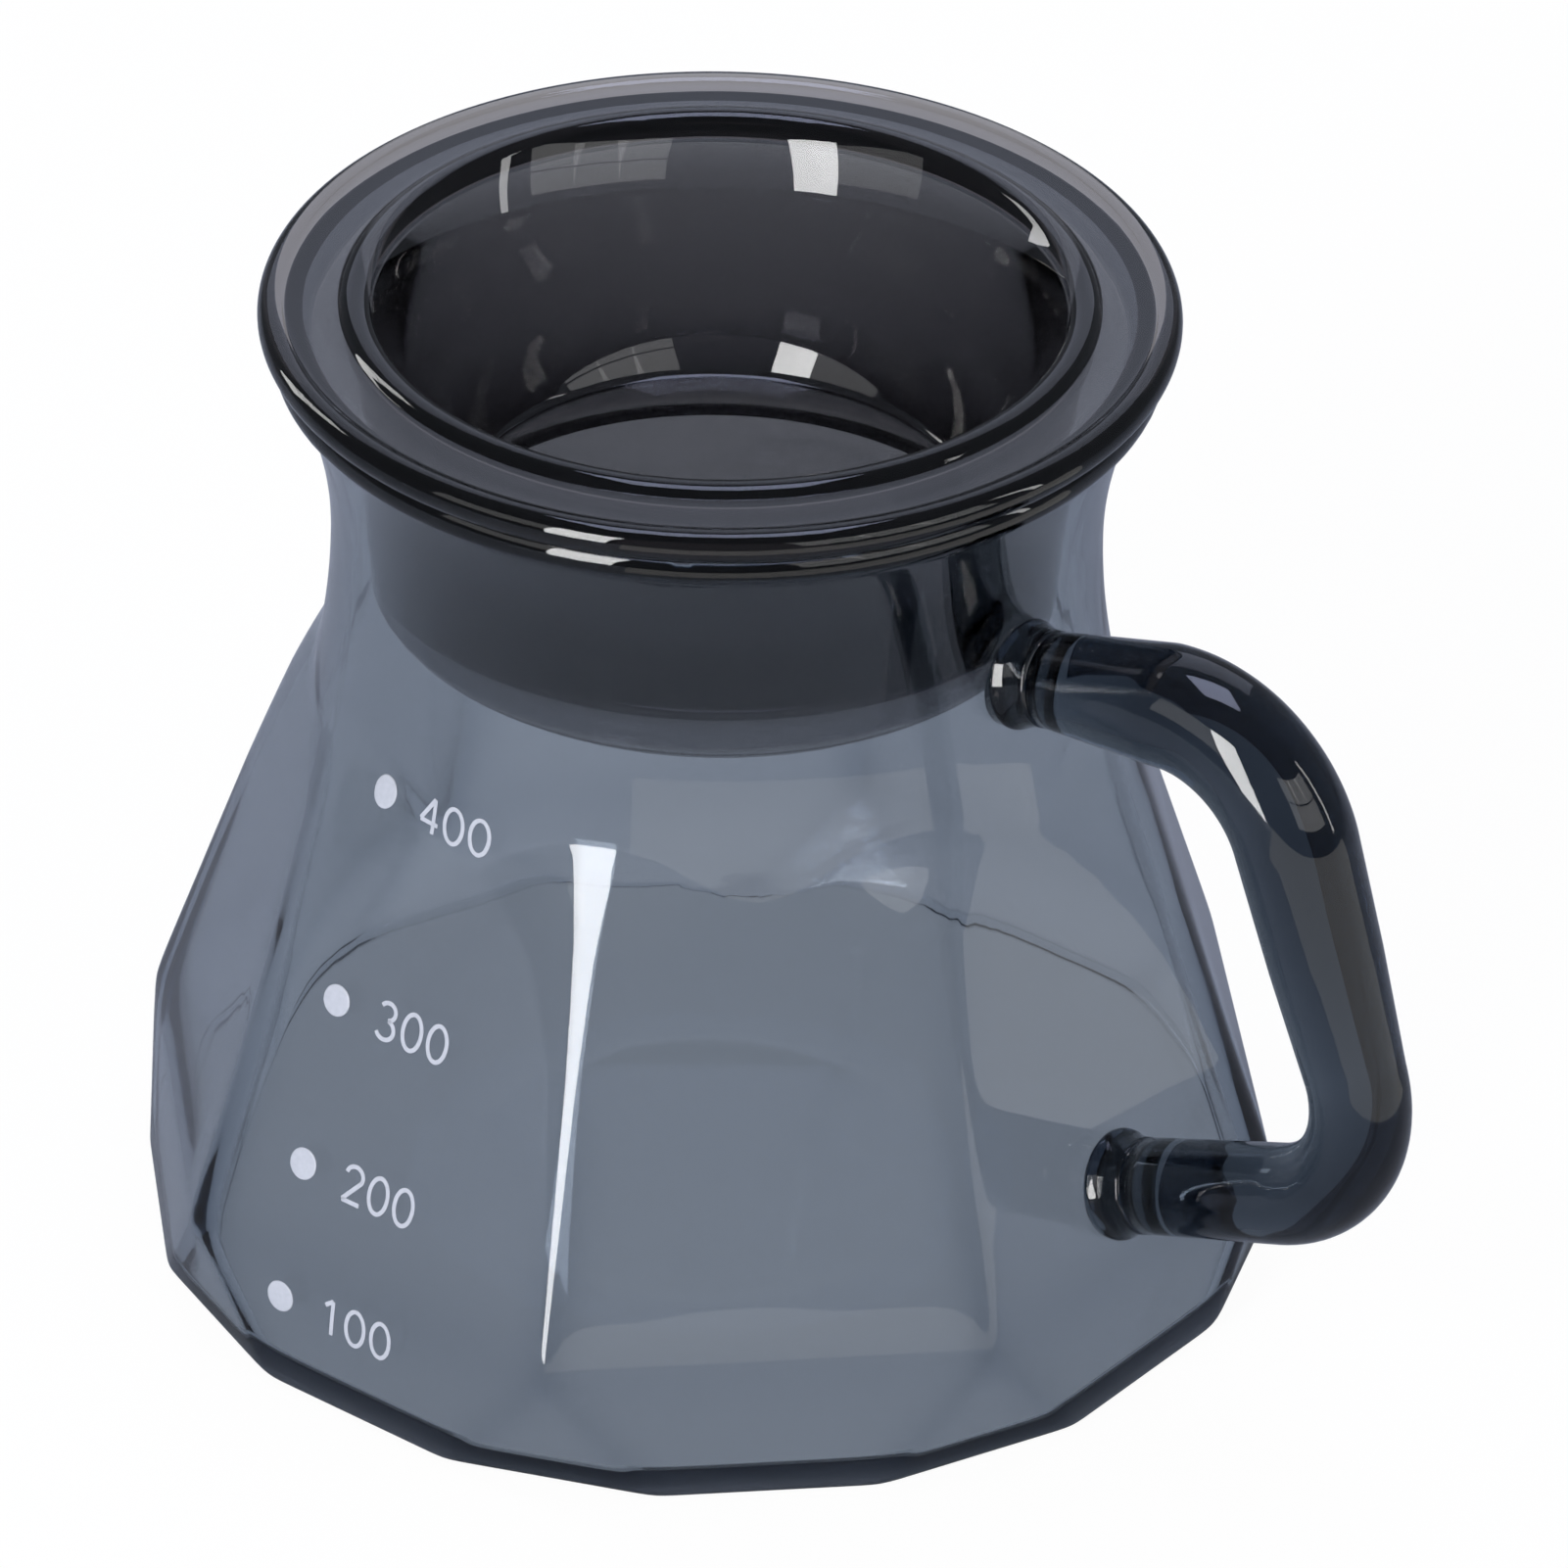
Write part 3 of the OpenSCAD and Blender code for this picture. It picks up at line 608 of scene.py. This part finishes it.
# Studio air: white to the eye and in the glass, and dimmer than that as a light, so that the
# server's faces are shaded and its white print isn't burnt out.
world = bpy.data.worlds.new("studio_air")
bpy.context.scene.world = world
world.use_nodes = True
world.node_tree.nodes.clear()
sight = node(world, "ShaderNodeLightPath")
seen_plain = node(world, "ShaderNodeMath", {"operation": "MAXIMUM"},
                  {0: sight.outputs["Is Camera Ray"], 1: sight.outputs["Is Glossy Ray"]})
seen_all = node(world, "ShaderNodeMath", {"operation": "MAXIMUM"},
                {0: seen_plain.outputs[0], 1: sight.outputs["Is Transmission Ray"]})
strength = node(world, "ShaderNodeMapRange", {"To Min": 0.35, "To Max": 1.0},
                {"Value": seen_all.outputs[0]})
air = node(world, "ShaderNodeBackground", {"Color": linear("#ffffff")},
           {"Strength": strength.outputs["Result"]})
node(world, "ShaderNodeOutputWorld", None, {"Surface": air.outputs["Background"]})


# Windows and ceiling: the daylight of the room, through panes between bars and off the ceiling.
# Each pane is a lamp behind a rectangle of cloth, and shows as a highlight in the glass.
middle = Vector((0, 0, 0.06))
window_distance, window_bar = 1.4, 0.02


def soft_box(name, turn, height, distance, wide, high, radiance, colour="#ffffff"):
    """A lamp behind a rectangle of cloth, aimed at the middle of the server; sizes in metres."""
    lamp = bpy.data.lights.new(name, "AREA")
    lamp.shape = "RECTANGLE"
    lamp.size, lamp.size_y = wide, high
    lamp.energy = radiance * math.pi * wide * high
    lamp.color = linear(colour)[:3]
    box = bpy.data.objects.new(name, lamp)
    turn, height = math.radians(turn), math.radians(height)
    way_out = Vector((math.cos(turn) * math.cos(height), math.sin(turn) * math.cos(height),
                      math.sin(height)))
    box.location = way_out * distance + middle
    box.rotation_euler = (middle - box.location).to_track_quat("-Z", "Y").to_euler()
    box.visible_camera = False
    bpy.context.scene.collection.objects.link(box)


def window(name, turn, height, across, high, panes, rows, radiance):
    """A window of lit panes, its width and height given in degrees as the server sees it."""
    wide = 2 * window_distance * math.tan(math.radians(across) / 2)
    tall = 2 * window_distance * math.tan(math.radians(high) / 2)
    pane_wide = (wide - window_bar * (panes - 1)) / panes
    pane_tall = (tall - window_bar * (rows - 1)) / rows
    for i in range(panes):
        for j in range(rows):
            shift = (i - (panes - 1) / 2) * (pane_wide + window_bar)
            lift = (j - (rows - 1) / 2) * (pane_tall + window_bar)
            soft_box(name + "_%d_%d" % (i, j), turn + math.degrees(math.atan2(shift, window_distance)),
                     height + math.degrees(math.atan2(lift, window_distance)),
                     window_distance, pane_wide, pane_tall, radiance)


# Name, turn, height, width and height in degrees, panes across, rows of panes, radiance
window("window_front", -84, 17, 15, 46, 1, 1, 14)
window("window_right", -8, 26, 46, 26, 3, 2, 1.5)
window("window_low", -104, 27, 34, 24, 1, 1, 1.0)
window("strip_right", 27, 24, 3, 36, 1, 1, 6)
window("window_left", -174, 26, 9, 30, 1, 2, 6)
# Name, turn, height, then distance, width and height in metres, radiance and colour
soft_box("ceiling_back", 128, 38, 1.6, 1.6, 1.0, 0.9, "#ccd3ea")
soft_box("overhead", 128, 80, 1.6, 0.7, 0.7, 4.5, "#d4dcff")

# Room: the painted walls, ceiling and table round the sheet, matt grey, from the table's middle out
# and up to the ceiling's middle. They show only as reflections in the glass.
wall_line = [(0.03, 0.0), (0.2, 0.0), (1.2, 0.0), (2.6, 0.0),
             (3.0, 0.3), (3.0, 1.5), (2.2, 2.6), (0.02, 3.0)]
wall_count = 64
wall_turns = np.linspace(0, 2 * math.pi, wall_count, endpoint=False)
wall_points = np.concatenate([ring(z * 1000, reach * 1000, wall_turns) for reach, z in wall_line])
# On the side of the handle the table is bare from its second ring to its fourth, and the sheet shows
bare_rows, bare_start, bare_end = (1, 2), 285, 42
bare_from, bare_to = round(wall_count * bare_start / 360), round(wall_count * bare_end / 360)
wall_faces = []
for row in range(len(wall_line) - 1):
    a, b = row * wall_count, (row + 1) * wall_count
    wall_faces += [(a + j, a + (j + 1) % wall_count, b + (j + 1) % wall_count, b + j)
                   for j in range(wall_count) if row not in bare_rows or bare_to <= j < bare_from]
wall_mesh = bpy.data.meshes.new("room_walls")
wall_mesh.from_pydata(wall_points.tolist(), [], wall_faces)
room_walls = bpy.data.objects.new("room_walls", wall_mesh)
bpy.context.scene.collection.objects.link(room_walls)
room_walls.visible_camera = room_walls.visible_diffuse = False
room_walls.visible_transmission = room_walls.visible_shadow = False
wall_paint = bpy.data.materials.new("grey_wall_paint")
wall_paint.use_nodes = True
wall_paint.node_tree.nodes.clear()
paint_skin = node(wall_paint, "ShaderNodeBsdfDiffuse", {"Color": linear("#9ba0ab")})
node(wall_paint, "ShaderNodeOutputMaterial", None, {"Surface": paint_skin.outputs[0]})
room_walls.data.materials.append(wall_paint)

# Many skins of glass lie behind one another here, so a ray may pass through two dozen of them
scene = bpy.context.scene
scene.view_settings.view_transform = "Standard"
scene.cycles.max_bounces = 24
scene.cycles.transmission_bounces = 24
scene.cycles.glossy_bounces = 8
